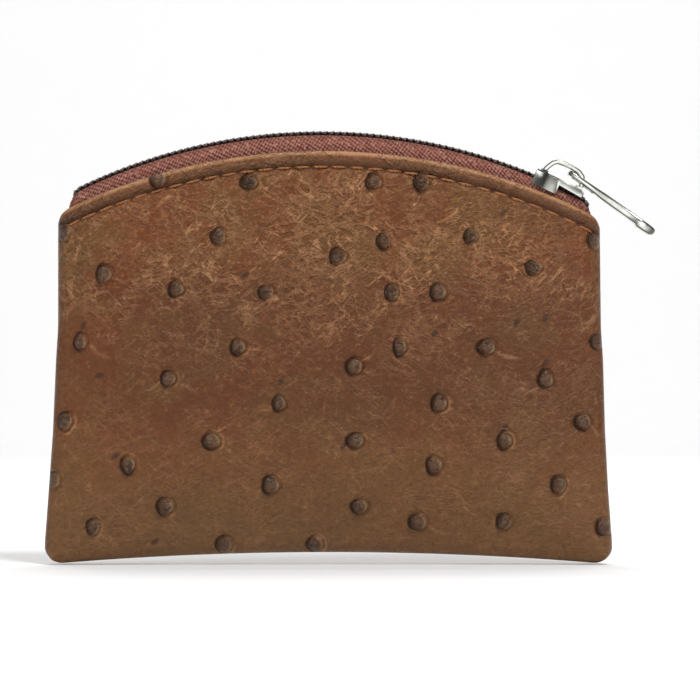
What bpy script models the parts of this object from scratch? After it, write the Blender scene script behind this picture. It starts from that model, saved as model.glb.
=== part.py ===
import math

import bpy
import numpy as np

# All sizes below are in millimetres. x runs along the pouch from its middle, z is up from its
# bottom corners, y is depth with the front at -y. Every mesh is shifted by shiftX when it is made.
mm = 0.001
shiftX = -3.89

# Front outline.
bottomMiddleZ = 2.3
bottomCornerZ = 0.2
bottomHalf = 50.0
sideHeights = [0.0, 4.6, 14.0, 25.0, 39.0, 45.0, 62.0, 90.0]
leftSide = [-54.2, -54.1, -53.4, -52.6, -52.0, -51.6, -51.6, -51.4]
rightSide = [54.0, 53.9, 53.2, 52.6, 52.2, 51.8, 51.6, 51.5]
bottomCornerRadius = 3.8
shoulderRadius = 2.3

# Arc of the leather's top edge and arc of the zip: centre x, centre z, radius.
hemArc = (-1.0, -35.5, 114.0)
zipArc = (-1.5, -23.5, 106.0)

# The upper edge of each leather opens as a lip above this fold line.
foldZ = 71.0
foldGap = 0.3
lipHalf = 37.4
stepFrom = 37.8
stepTo = 38.6

# Depths of the leather.
seamGap = 0.15
edgeRound = 2.0
bellyDepth = 6.3
neckDepth = 5.2
hemDepth = 5.0
leatherThick = 1.2
hemThick = 1.7
allowance = 4.0
bellyRamp = 22.0
neckRamp = 9.0
bellyTop = 44.0
neckFrom = 64.0
gridHalf = 52.0
gridTall = 70.0

# Lining.
liningThick = 0.4
liningGap = 0.25
liningInset = 5.6
liningTopDepth = 2.7
liningDrop = 1.5
liningLipHalf = 30.0

# Zip tape and coil, measured outward from the zip arc's centre.
coilOut = 106.0
coilIn = 104.95
coilNear = 0.3
coilFar = 2.1
tapeTop = 104.85
tapeUnder = 104.5
tapeNear = 0.35
tapeWallIn = 2.1
tapeWallOut = 2.45
tapeHemIn = 2.8
tapeHemOut = 3.12
tapeBelowHem = 5.5
tapeInside = 46.0
zipEnds = (-48.9, 49.9)
endFrom = 37.8

# Topstitching.
stitchDrop = 3.0
threadRadius = 0.22
threadLift = 0.4
stitchLipHalf = 28.4
stitchEndFrom = 30.8
stitchEndTo = 48.4

# Slider. s runs along the zip towards its closed end.
sliderAngle = 25.53
bladeBack = -5.4
bladeFront = 4.6
bladeHalf = 3.6
bladeNoseHalf = 3.15
bladeUnder = 106.25
bladeOver = 107.0
flangeIn = 2.85
flangeFoot = 103.9
flangeFront = -0.4
lowerHalf = 1.75
lowerUnder = 103.3
lowerOver = 104.0
postHalf = 0.13
postBack = -1.0
postFront = 2.0
bridgeHalf = 1.1
bridgeFoot = 107.12
pivotS = 0.78
pivotR = 108.8

# Pull. Its own x runs from the cross bar's axis to the tip.
pullAngle = -35.5
pullLines = [-0.55, 0.5, 5.9, 7.4, 10.5, 15.3, 15.9, 18.4, 19.4]
pullHalves = [2.55, 2.6, 2.5, 2.05, 1.95, 2.35, 2.5, 2.4, 1.5]
pullUp = [0.5, 0.5, 0.6, 0.85, 0.85, 0.85, 0.85, 0.7, 0.3]
pullDown = [0.5, 0.5, 0.6, 0.85, 0.85, 0.85, 1.15, 0.9, 0.3]
pullHole = 1.6


def clearScene():
    for item in list(bpy.data.objects):
        bpy.data.objects.remove(item, do_unlink=True)


def material(name, color, roughness, metallic):
    made = bpy.data.materials.new(name)
    made.use_nodes = True
    shader = made.node_tree.nodes["Principled BSDF"]
    shader.inputs["Base Color"].default_value = (*color, 1.0)
    shader.inputs["Roughness"].default_value = roughness
    shader.inputs["Metallic"].default_value = metallic
    made.diffuse_color = (*color, 1.0)
    return made


def addMesh(name, points, faces, mat, smooth=False):
    mesh = bpy.data.meshes.new(name)
    placed = [((p[0] + shiftX) * mm, p[1] * mm, p[2] * mm) for p in points]
    mesh.from_pydata(placed, [], faces)
    mesh.validate()
    mesh.update()
    item = bpy.data.objects.new(name, mesh)
    bpy.context.scene.collection.objects.link(item)
    mesh.materials.append(mat)
    outward(mesh)
    if smooth:
        mesh.polygons.foreach_set("use_smooth", [True] * len(mesh.polygons))
    return item


def outward(mesh):
    total = 0.0
    for face in mesh.polygons:
        spots = [mesh.vertices[i].co for i in face.vertices]
        for k in range(1, len(spots) - 1):
            total += spots[0].dot(spots[k].cross(spots[k + 1]))
    if total < 0:
        mesh.flip_normals()


def ramp(value):
    u = min(max(value, 0.0), 1.0)
    return 1.0 - (1.0 - u) ** 2


def smooth(value):
    u = min(max(value, 0.0), 1.0)
    return u * u * (3.0 - 2.0 * u)


def hemZ(x):
    return hemArc[1] + math.sqrt(hemArc[2] ** 2 - (x - hemArc[0]) ** 2)


def bottomZ(x):
    return max(bottomMiddleZ - 2.0 * (x / bottomHalf) ** 2, bottomCornerZ)


def sideX(side, z):
    table = leftSide if side < 0 else rightSide
    return float(np.interp(z, sideHeights, table))


def panelTop(x):
    away = abs(x - hemArc[0])
    if away <= stepFrom:
        return foldZ
    blend = min((away - stepFrom) / (stepTo - stepFrom), 1.0)
    return foldZ + blend * (hemZ(x) - foldZ)


def roundCorner(s, t):
    for side in (-1, 1):
        for base, reach in ((0.0, bottomCornerRadius), (gridTall, shoulderRadius)):
            up = 1 if base == 0.0 else -1
            a = (abs(s) - (gridHalf - reach)) / reach if s * side > 0 else -1.0
            b = ((base + up * reach) - t) * up / reach
            if a > 0 and b > 0:
                newA = a * math.sqrt(1.0 - 0.5 * b * b)
                newB = b * math.sqrt(1.0 - 0.5 * a * a)
                s = side * (gridHalf - reach + newA * reach)
                t = base + up * (reach - newB * reach)
                return s, t
    return s, t


def panelPoint(s, t, lowered=0.0):
    # Turns grid place (s, t) into x and z on the front view.
    s, t = roundCorner(s, t)
    share = t / gridTall
    z = share * foldZ
    for _ in range(3):
        x = abs(s) / gridHalf * sideX(1 if s >= 0 else -1, z)
        low = bottomZ(x)
        high = panelTop(x) - lowered
        z = low + share * (high - low)
    return x, z


def neckShare(t):
    return smooth((t - bellyTop) / (neckFrom - bellyTop))


def leatherDepth(s, t):
    edge = min(gridHalf - abs(s), t)
    inner = min(edge / edgeRound, 1.0)
    nose = seamGap + edgeRound * math.sqrt(max(1.0 - (1.0 - inner) ** 2, 0.0))
    neck = neckShare(t)
    belly = bellyDepth + neck * (neckDepth - bellyDepth)
    wide = bellyRamp + neck * (neckRamp - bellyRamp)
    puff = ramp((gridHalf - abs(s)) / wide) * ramp(t / bellyRamp)
    return nose + (belly - seamGap - edgeRound) * puff


def leatherInside(s, t):
    edge = min(gridHalf - abs(s), t)
    if edge < allowance:
        return seamGap
    return leatherDepth(s, t) - leatherThick


def liningDepth(s, t):
    edge = min(gridHalf - abs(s), t)
    rise = seamGap + liningThick + 1.1 * (edge - liningInset)
    neck = neckShare(t)
    limit = 6.0 + neck * (liningTopDepth - 6.0)
    return min(rise, leatherInside(s, t) - liningGap, limit)


def shell(name, side, sLines, tLines, point, outer, inner, mat):
    points = []
    for layer in (outer, inner):
        for t in tLines:
            for s in sLines:
                x, z = point(s, t)
                points.append((x, side * layer(s, t), z))
    wide = len(sLines)
    tall = len(tLines)
    half = wide * tall
    faces = []
    for j in range(tall - 1):
        for i in range(wide - 1):
            a = j * wide + i
            faces.append((a, a + 1, a + 1 + wide, a + wide))
            faces.append((half + a, half + a + wide, half + a + 1 + wide, half + a + 1))
    for i in range(wide - 1):
        a = i
        b = (tall - 1) * wide + i
        faces.append((a + 1, a, half + a, half + a + 1))
        faces.append((b, b + 1, half + b + 1, half + b))
    for j in range(tall - 1):
        a = j * wide
        b = j * wide + wide - 1
        faces.append((a, a + wide, half + a + wide, half + a))
        faces.append((b + wide, b, half + b, half + b + wide))
    return addMesh(name, points, faces, mat, False)


def leatherPanel(name, side, mat):
    near = [0.0, 0.25, 0.8, 1.9, 3.8, 4.2, 6.6]
    sLines = [value - gridHalf for value in near]
    sLines += [-43.0, -39.9, -39.1, -35.0, -30.0, -15.0, 0.0]
    sLines += [15.0, 30.0, 34.0, 37.1, 37.9, 42.0]
    sLines += [gridHalf - value for value in reversed(near)]
    tLines = [0.0, 0.25, 0.8, 1.9, 3.8, 4.2, 8.0, 12.0, 17.0]
    tLines += [bellyRamp, bellyTop, 50.0, 57.0, neckFrom, 68.0, gridTall]
    return shell(name, side, sLines, tLines, panelPoint, leatherDepth, leatherInside, mat)


def liningPanel(name, side, mat):
    near = [0.0, 1.2, 2.6, 4.5]
    edge = gridHalf - liningInset
    sLines = [value - edge for value in near]
    sLines += [-38.2, -34.0, -30.0, -20.0, -10.0, 0.0, 10.0, 20.0, 30.0, 34.0, 37.6]
    sLines += [edge - value for value in reversed(near)]
    tLines = [liningInset + value for value in near]
    tLines += [14.0, 18.0, bellyRamp, bellyTop, 50.0, 56.0, 61.0, 66.0, gridTall - 0.1]

    def place(s, t):
        return panelPoint(s, t, liningLowered(s))

    def inside(s, t):
        return liningDepth(s, t) - liningThick

    return shell(name, side, sLines, tLines, place, liningDepth, inside, mat)


def liningLowered(s):
    return liningDrop * smooth((abs(s) - 36.0) / 3.0)


def fromZip(angle, radius):
    x = zipArc[0] + radius * math.sin(angle)
    z = zipArc[1] + radius * math.cos(angle)
    return x, z


def angleAt(x):
    return math.asin((x - zipArc[0]) / zipArc[2])


def hemRadius(angle):
    # Where the ray from the zip arc's centre meets the leather's top edge.
    low = 90.0
    high = 112.0
    for _ in range(40):
        middle = 0.5 * (low + high)
        x, z = fromZip(angle, middle)
        if z < hemZ(x):
            low = middle
        else:
            high = middle
    return low


def sweep(name, angles, section, mat, side):
    # section gives (radius, depth) pairs for one angle; the rings are joined and capped.
    points = []
    rings = []
    for angle in angles:
        ring = []
        for radius, depth in section(angle):
            x, z = fromZip(angle, radius)
            ring.append(len(points))
            points.append((x, side * depth, z))
        rings.append(ring)
    faces = []
    count = len(rings[0])
    for a, b in zip(rings[:-1], rings[1:]):
        for k in range(count):
            n = (k + 1) % count
            faces.append((a[k], a[n], b[n], b[k]))
    faces.append(tuple(reversed(rings[0])))
    faces.append(tuple(rings[-1]))
    return addMesh(name, points, faces, mat, False)


def coilSection(angle):
    return [(coilIn, coilNear), (coilIn, coilFar), (coilOut - 0.35, coilFar),
            (coilOut, coilFar - 0.35), (coilOut, coilNear + 0.3), (coilOut - 0.3, coilNear)]


def tapeSection(angle, onLip):
    hem = hemRadius(angle)
    low = hem - tapeBelowHem
    x, _ = fromZip(angle, tapeTop)
    wallIn, wallOut = tapeHemIn, tapeHemOut
    upper, lower = hem + 0.7, hem - 0.5
    if onLip:
        low = max(low, (foldZ + foldGap + 0.1 - zipArc[1]) / math.cos(angle))
        lower = max(lower, low + 0.3)
    elif abs(x) > tapeInside:
        low, lower, upper = hem + 0.35, hem + 0.5, hem + 0.7
        wallIn, wallOut = tapeWallIn, tapeWallOut
    upper = max(upper, lower + 0.2)
    return [(tapeUnder, tapeNear), (tapeTop, tapeNear), (tapeTop, tapeWallOut),
            (upper, tapeWallOut), (lower, wallOut), (low, wallOut),
            (low, wallIn), (lower, wallIn), (upper, tapeWallIn), (tapeUnder, tapeWallIn)]


def spread(start, end, count):
    return [start + (end - start) * k / (count - 1) for k in range(count)]


def zipPieces(label, side, tapeMat, coilMat):
    lipAngles = spread(angleAt(-lipHalf + hemArc[0]), angleAt(lipHalf + hemArc[0]), 21)
    sweep(label + "_tape", lipAngles, lambda a: tapeSection(a, True), tapeMat, side)
    sweep(label + "_coil", lipAngles, coilSection, coilMat, side)
    for end, edge in (("left", zipEnds[0]), ("right", zipEnds[1])):
        sign = -1 if edge < 0 else 1
        first = abs(sign * endFrom + hemArc[0])
        marks = [first, 42.0, 45.0, tapeInside - 0.1, tapeInside + 0.1, 48.0, abs(edge)]
        angles = sorted(angleAt(sign * mark) for mark in marks)
        sweep(label + "_tape_end_" + end, angles, lambda a: tapeSection(a, False), tapeMat, side)
        sweep(label + "_coil_end_" + end, angles, coilSection, coilMat, side)


def leatherLip(name, side, mat):
    xs = spread(-lipHalf + hemArc[0], lipHalf + hemArc[0], 17)
    shares = [0.0, 0.35, 0.7, 1.0]
    depths = [neckDepth, neckDepth + 0.15, hemDepth + 0.1, hemDepth - 0.4]
    insides = [neckDepth - hemThick, neckDepth - hemThick, 3.3, 3.5]

    def place(x, k):
        low = foldZ + foldGap
        return x, low + shares[k] * (hemZ(x) - low)

    return shell(name, side, xs, [0, 1, 2, 3], place,
                 lambda x, k: depths[k], lambda x, k: insides[k], mat)


def liningLip(name, side, mat):
    xs = spread(-liningLipHalf + hemArc[0], liningLipHalf + hemArc[0], 13)

    def place(x, k):
        low = foldZ + foldGap
        return x, low + k * (hemZ(x) - liningDrop - low)

    return shell(name, side, xs, [0, 1], place,
                 lambda x, k: liningTopDepth, lambda x, k: liningTopDepth - liningThick, mat)


def tube(name, path, radius, mat, sides=6):
    # path holds (x, y, z) places; the ring stands square to the run, kept upright by y.
    points = []
    rings = []
    spots = [np.array(p, float) for p in path]
    for k, spot in enumerate(spots):
        ahead = spots[min(k + 1, len(spots) - 1)]
        behind = spots[max(k - 1, 0)]
        run = ahead - behind
        run /= np.linalg.norm(run)
        across = np.cross(run, np.array([0.0, 1.0, 0.0]))
        across /= np.linalg.norm(across)
        other = np.cross(run, across)
        ring = []
        for n in range(sides):
            turn = 2.0 * math.pi * n / sides
            place = spot + radius * (math.cos(turn) * across + math.sin(turn) * other)
            ring.append(len(points))
            points.append(tuple(place))
        rings.append(ring)
    faces = []
    for a, b in zip(rings[:-1], rings[1:]):
        for k in range(sides):
            n = (k + 1) % sides
            faces.append((a[k], a[n], b[n], b[k]))
    faces.append(tuple(reversed(rings[0])))
    faces.append(tuple(rings[-1]))
    return addMesh(name, points, faces, mat, True)


def stitchRuns(label, side, mat):
    lipX = spread(-stitchLipHalf + hemArc[0], stitchLipHalf + hemArc[0], 15)
    lift = neckDepth + 0.2 + threadLift
    path = [(x, side * lift, hemZ(x) - stitchDrop) for x in lipX]
    tube(label + "_topstitch", path, threadRadius, mat)
    for end, sign in (("left", -1), ("right", 1)):
        path = []
        for away in spread(stitchEndFrom, stitchEndTo, 10):
            x = sign * away + hemArc[0]
            z = hemZ(x) - stitchDrop
            s = gridHalf * x / abs(sideX(sign, z))
            t = gridTall * (z - bottomZ(x)) / (panelTop(x) - bottomZ(x))
            depth = leatherDepth(s, t) + threadLift
            path.append((x, side * depth, z))
        if sign < 0:
            path.reverse()
        tube(label + "_topstitch_end_" + end, path, threadRadius, mat)


def seamThread(mat):
    # Runs down the left, along the bottom and up the right, just inside the seam allowance.
    inset = allowance + 0.75
    reach = gridHalf - inset
    route = [(-reach, t) for t in spread(62.0, inset + 3.0, 12)]
    route += [(-reach + 0.25, inset + 0.25)]
    route += [(s, inset) for s in spread(-reach + 3.0, reach - 3.0, 15)]
    route += [(reach - 0.25, inset + 0.25)]
    route += [(reach, t) for t in spread(inset + 3.0, 62.0, 12)]
    path = []
    for s, t in route:
        x, z = panelPoint(s, t)
        path.append((x, 0.0, z))
    return tube("side_seam_thread", path, threadRadius, mat)


def sliderPoint(s, radius):
    turn = math.radians(sliderAngle)
    x = zipArc[0] + radius * math.sin(turn) + s * math.cos(turn)
    z = zipArc[1] + radius * math.cos(turn) - s * math.sin(turn)
    return x, z


def setOrigin(item, x, z):
    spot = ((x + shiftX) * mm, 0.0, z * mm)
    item.location = spot
    for vertex in item.data.vertices:
        vertex.co.x -= spot[0]
        vertex.co.z -= spot[2]


def lattice(name, sLines, yLines, rLines, kept, place, mat):
    # Fills the kept cells of a box lattice and draws only the faces on its outside.
    points = []
    index = {}
    faces = []

    def corner(i, j, k):
        key = (i, j, k)
        if key not in index:
            index[key] = len(points)
            points.append(place(i, j, k))
        return index[key]

    cells = set()
    for i in range(len(sLines) - 1):
        for j in range(len(yLines) - 1):
            for k in range(len(rLines) - 1):
                if kept(i, j, k):
                    cells.add((i, j, k))
    sides = {
        (-1, 0, 0): [(0, 0, 0), (0, 0, 1), (0, 1, 1), (0, 1, 0)],
        (1, 0, 0): [(1, 0, 0), (1, 1, 0), (1, 1, 1), (1, 0, 1)],
        (0, -1, 0): [(0, 0, 0), (1, 0, 0), (1, 0, 1), (0, 0, 1)],
        (0, 1, 0): [(0, 1, 0), (0, 1, 1), (1, 1, 1), (1, 1, 0)],
        (0, 0, -1): [(0, 0, 0), (0, 1, 0), (1, 1, 0), (1, 0, 0)],
        (0, 0, 1): [(0, 0, 1), (1, 0, 1), (1, 1, 1), (0, 1, 1)],
    }
    for cell in sorted(cells):
        for step, ring in sides.items():
            beside = tuple(cell[n] + step[n] for n in range(3))
            if beside in cells:
                continue
            faces.append([corner(*[cell[n] + spot[n] for n in range(3)]) for spot in ring])
    return addMesh(name, points, faces, mat, False)


def sliderBody(mat):
    sLines = [bladeBack, bladeBack + 1.3, postBack, flangeFront, postFront, bladeFront - 0.7,
              bladeFront]
    yLines = [-bladeHalf, -flangeIn, -lowerHalf, -postHalf, postHalf, lowerHalf, flangeIn,
              bladeHalf]
    rLines = [lowerUnder, flangeFoot, lowerOver, bladeUnder, bladeOver]

    def kept(i, j, k):
        if k == 3:
            return True
        if j in (0, 6):
            return i <= 2 and k in (1, 2)
        if k in (0, 1):
            return 2 <= j <= 4
        return k == 2 and j == 3 and i in (2, 3)

    def place(i, j, k):
        s = sLines[i]
        y = yLines[j]
        if i == 0 and abs(y) > lowerHalf:
            y *= bladeNoseHalf / bladeHalf if abs(y) == bladeHalf else 0.985
        if i == len(sLines) - 1:
            y *= 0.9
        x, z = sliderPoint(s, rLines[k])
        return x, y, z

    body = lattice("slider_body", sLines, yLines, rLines, kept, place, mat)
    setOrigin(body, zipArc[0], zipArc[1])
    return body


def sliderBridge(mat):
    outer = [(-4.3, 0.0), (-3.6, 1.75), (-2.9, 3.0), (-1.2, 3.04), (1.6, 3.0), (3.0, 2.5),
             (3.75, 1.3), (3.8, 0.0)]
    inner = [(-3.6, 0.0), (-3.0, 1.45), (-2.5, 2.36), (-1.2, 2.4), (1.5, 2.38), (2.6, 1.95),
             (3.1, 1.1), (3.1, 0.0)]
    points = []
    for half in (-bridgeHalf, bridgeHalf):
        for line in (outer, inner):
            for s, lift in line:
                x, z = sliderPoint(s, bridgeFoot + lift)
                points.append((x, half, z))
    count = len(outer)
    faces = []
    for k in range(count - 1):
        for base, flip in ((0, False), (2 * count, True)):
            ring = (base + k, base + k + 1, base + count + k + 1, base + count + k)
            faces.append(tuple(reversed(ring)) if flip else ring)
        faces.append((k, 2 * count + k, 2 * count + k + 1, k + 1))
        faces.append((count + k, count + k + 1, 3 * count + k + 1, 3 * count + k))
    faces.append((0, count, 3 * count, 2 * count))
    last = count - 1
    faces.append((last, 2 * count + last, 3 * count + last, count + last))
    bridge = addMesh("slider_bridge", points, faces, mat, False)
    setOrigin(bridge, zipArc[0], zipArc[1])
    return bridge


def pullTab(mat):
    turn = math.radians(pullAngle)
    atX, atZ = sliderPoint(pivotS, pivotR)
    yShares = [-1.0, -pullHole, pullHole, 1.0]

    def kept(i, j, k):
        return not (i == 1 and j == 1)

    def place(i, j, k):
        along = pullLines[i]
        off = -pullDown[i] if k == 0 else pullUp[i]
        y = pullHalves[i] * yShares[j] if j in (0, 3) else yShares[j] * min(1.0, pullHalves[i] / 2.3)
        x = atX + along * math.cos(turn) - off * math.sin(turn)
        z = atZ + along * math.sin(turn) + off * math.cos(turn)
        return x, y, z

    pull = lattice("pull_tab", pullLines, yShares, [0, 1], kept, place, mat)
    setOrigin(pull, atX, atZ)
    return pull


def build():
    clearScene()
    leather = material("leather_brown", (0.15, 0.062, 0.03), 0.55, 0.0)
    lining = material("lining_brown", (0.075, 0.05, 0.035), 0.85, 0.0)
    tape = material("tape_brown", (0.23, 0.10, 0.075), 0.85, 0.0)
    coil = material("coil_dark", (0.035, 0.018, 0.014), 0.4, 0.0)
    thread = material("thread_tan", (0.30, 0.13, 0.055), 0.7, 0.0)
    nickel = material("nickel", (0.80, 0.80, 0.77), 0.22, 1.0)
    for label, side in (("front", -1), ("back", 1)):
        leatherPanel(label + "_leather", side, leather)
        leatherLip(label + "_leather_lip", side, leather)
        liningPanel(label + "_lining", side, lining)
        liningLip(label + "_lining_lip", side, lining)
        zipPieces(label, side, tape, coil)
        stitchRuns(label, side, thread)
    seamThread(thread)
    sliderBody(nickel)
    sliderBridge(nickel)
    pullTab(nickel)


build()
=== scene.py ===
import math
import random

import bpy
import numpy as np
from mathutils import Matrix, Vector


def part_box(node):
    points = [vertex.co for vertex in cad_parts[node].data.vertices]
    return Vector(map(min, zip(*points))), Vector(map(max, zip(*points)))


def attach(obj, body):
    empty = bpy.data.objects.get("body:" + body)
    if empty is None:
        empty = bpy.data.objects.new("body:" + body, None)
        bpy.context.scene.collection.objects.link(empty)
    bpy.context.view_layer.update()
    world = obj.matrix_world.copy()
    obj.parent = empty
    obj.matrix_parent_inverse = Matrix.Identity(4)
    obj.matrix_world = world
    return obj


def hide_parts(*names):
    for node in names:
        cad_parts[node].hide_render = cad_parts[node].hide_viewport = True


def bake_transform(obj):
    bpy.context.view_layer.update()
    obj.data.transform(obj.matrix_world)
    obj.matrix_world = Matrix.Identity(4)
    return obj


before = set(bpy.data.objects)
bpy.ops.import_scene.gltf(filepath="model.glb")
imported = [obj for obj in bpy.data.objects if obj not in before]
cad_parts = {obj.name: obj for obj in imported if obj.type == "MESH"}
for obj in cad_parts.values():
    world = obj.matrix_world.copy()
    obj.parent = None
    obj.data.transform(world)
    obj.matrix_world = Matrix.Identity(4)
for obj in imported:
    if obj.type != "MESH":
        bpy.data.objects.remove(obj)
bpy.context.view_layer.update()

scene = bpy.context.scene
mm = 0.001

# The middle of the pouch in the frame: the two leather panels are centred a little right of it.
leatherLow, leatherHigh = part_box("front_leather")
middleX = 0.5 * (leatherLow.x + leatherHigh.x) / mm + 0.1

# All sizes are in millimetres, measured from the pouch's middle and its bottom corners.
outline = {
    "hemArc": (-1.0, -35.5, 114.0),
    "zipArc": (-1.5, -23.5, 106.0),
    "sideHeights": [0.0, 4.6, 14.0, 25.0, 39.0, 45.0, 62.0, 90.0],
    "leftSide": [-54.2, -54.1, -53.4, -52.6, -52.0, -51.6, -51.6, -51.4],
    "rightSide": [54.0, 53.9, 53.2, 52.6, 52.2, 51.8, 51.6, 51.5],
    "bottomMiddle": 2.3,
    "bottomCorner": 0.2,
    "bottomDrop": 2.0,
    "bottomReach": 50.0,
    "foldZ": 71.0,
    "foldHeight": 70.0,
    "halfGrid": 52.0,
    "tallGrid": 78.0,
    "bottomRadius": 3.8,
    "shoulderRadius": 2.3,
}


def arcZ(x, arc, radius):
    cx, cz, _ = outline[arc]
    return cz + np.sqrt(radius * radius - (x - cx) ** 2)


def hemZ(x, drop=0.0):
    # Height of the hem's edge, or of a line that far below it.
    return arcZ(x, "hemArc", outline["hemArc"][2] - drop)


def bottomZ(x):
    low = outline["bottomMiddle"] - outline["bottomDrop"] * (x / outline["bottomReach"]) ** 2
    return np.maximum(low, outline["bottomCorner"])


def sideX(s, z):
    left = np.interp(z, outline["sideHeights"], outline["leftSide"])
    right = np.interp(z, outline["sideHeights"], outline["rightSide"])
    return np.where(s < 0, left, right)


def unit(v):
    return np.clip(v, 0, 1)


def smooth(v):
    u = unit(v)
    return u * u * (3.0 - 2.0 * u)


def ramp(v):
    return 1.0 - (1.0 - unit(v)) ** 2


def quarter(v):
    # A quarter circle from 0 to 1.
    return np.sqrt(unit(1 - (1 - v) ** 2))


def bell(v, wide):
    return np.exp(-(v / wide) ** 2)


def turnedBy(dx, dz, turn):
    # How far a point lies along a heading, and how far off it.
    return dx * math.cos(turn) + dz * math.sin(turn), -dx * math.sin(turn) + dz * math.cos(turn)


def roundCorners(s, t):
    # Rounds the grid's corners into arcs.
    half, tall = outline["halfGrid"], outline["tallGrid"]
    newS, newT = s.copy(), t.copy()
    ends = ((0.0, outline["bottomRadius"], 1), (tall, outline["shoulderRadius"], -1))
    for base, reach, up in ends:
        a = (np.abs(s) - (half - reach)) / reach
        b = ((base + up * reach) - t) * up / reach
        here = (a > 0) & (b > 0)
        bentA = a * np.sqrt(1 - 0.5 * unit(b) ** 2)
        bentB = b * np.sqrt(1 - 0.5 * unit(a) ** 2)
        newS = np.where(here, np.sign(s) * (half - reach + bentA * reach), newS)
        newT = np.where(here, base + up * (reach - bentB * reach), newT)
    return newS, newT


def frontPlace(s, t, top=hemZ):
    # Grid place to x and z in the front view; top gives the upper edge at x.
    s, t = roundCorners(s, t)
    share = t / outline["tallGrid"]
    z = share * outline["foldZ"]
    for _ in range(4):  # x and z lean on each other, and settle in a few turns
        x = np.abs(s) / outline["halfGrid"] * sideX(s, z)
        z = bottomZ(x) + share * (top(x) - bottomZ(x))
    return x, z


def cadHeight(x, z):
    # Height up the panel as the depth rules count it, up to the fold line.
    low = bottomZ(x)
    high = np.minimum(hemZ(x), outline["foldZ"])
    tall = outline["foldHeight"]
    return np.minimum(tall * (z - low) / (high - low), tall)


leather = {
    "edgeRound": 2.0,
    "belly": 6.3,
    "neck": 5.25,
    "bellyRamp": 22.0,
    "neckRamp": 9.0,
    "bellyTop": 44.0,
    "neckFrom": 64.0,
    "seam": 0.12,
    "thick": 1.2,
    "hemThick": 1.6,
    "hemTurned": 5.0,
    "hemFade": 1.5,
    "hemRoll": 0.8,
    "allowance": 4.0,
    "columns": 289,
    "rows": 200,
    "press": 0.18,
    "innerStep": 4,
}


def edgeRange(s, t):
    return np.minimum(outline["halfGrid"] - np.abs(s), t)


def neckShare(t):
    return smooth((t - leather["bellyTop"]) / (leather["neckFrom"] - leather["bellyTop"]))


def outerDepth(s, t):
    edge = edgeRange(s, t)
    inner = unit(edge / leather["edgeRound"])
    nose = leather["seam"] + leather["edgeRound"] * quarter(inner)
    neck = neckShare(t)
    belly = leather["belly"] + neck * (leather["neck"] - leather["belly"])
    wide = leather["bellyRamp"] + neck * (leather["neckRamp"] - leather["bellyRamp"])
    puff = ramp((outline["halfGrid"] - np.abs(s)) / wide) * ramp(t / leather["bellyRamp"])
    return nose + (belly - leather["seam"] - leather["edgeRound"]) * puff


def insideDepth(s, t, below):
    folded = smooth((leather["hemTurned"] - below) / leather["hemFade"])
    wall = leather["thick"] + (leather["hemThick"] - leather["thick"]) * folded
    return np.where(edgeRange(s, t) < leather["allowance"], leather["seam"], outerDepth(s, t) - wall)


# Quill bumps, row by row from the hem down: the height, and how far right of the middle.
quillRows = {
    73.0: [-32.2], 72.6: [-15.0, 8.6, 17.7], 63.2: [-50.5], 62.3: [-20.8, 27.0], 61.5: [10.5, 50.5],
    58.5: [1.9], 56.4: [38.9], 55.1: [-42.5], 52.3: [-28.8], 51.7: [-11.8, 12.0, 20.8],
    42.3: [-47.0, 51.2], 41.3: [-17.1, 13.5, 29.9], 37.7: [4.9], 35.3: [-30.3, 41.1],
    30.7: [-9.3, 20.9], 27.2: [-49.9, 48.2], 23.6: [-22.1, 5.1, 33.3], 19.0: [-37.9, 20.0],
    16.0: [-52.3], 15.2: [-10.9, 43.6], 11.1: [-30.9, 5.9], 8.2: [17.0, 33.3], 7.2: [-44.6, 52.4],
    3.9: [-19.8, -2.5],
}
quill = {
    "radius": 1.58,
    "height": 0.72,
    "seed": 11,
    "narrow": 0.985,
    "stray": 1.2,
    "size": (0.9, 1.1),
    "squeeze": (0.9, 1.12),
    "lean": (140, 200),
    "ragged": (0.045, 0.025),
    "shelf": 0.45,
    "crown": 0.5,
    "nub": 0.16,
    "slope": 0.25,
    "pits": 0.18,
    "fold": (0.15, 0.1),
    "dent": 0.13,
    "denseAbove": 30,
    "tailLong": 5.2,
    "tailWide": 0.17,
    "tailWays": (-32, -24, 40, -38, 205),
    "tailStray": 12,
}
darkMarks = {
    "seed": 5,
    "turn": (0.2, 1.2),
    "long": 1.1,
    "wide": 0.55,
    "places": [
        (41.0, 38.3), (33.2, 26.0), (35.5, 46.0), (41.0, 46.8), (2.8, 22.7), (-46.6, 45.4), (-43.5, 36.0),
        (-40.5, 20.6), (-9.0, 35.0), (33.0, 66.8), (20.0, 44.0), (-15.8, 55.0), (-33.0, 4.5),
    ],
}


def quillPlaces(side):
    places = [(x, z) for z, xs in quillRows.items() for x in xs]
    if side < 0:
        return places  # the back's bumps are the front's, mirrored and strayed
    shift = random.Random(quill["seed"])
    far = quill["stray"]
    narrow = quill["narrow"]
    return [(-x * narrow + shift.uniform(-far, far), z + shift.uniform(-far, far)) for x, z in places]


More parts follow.
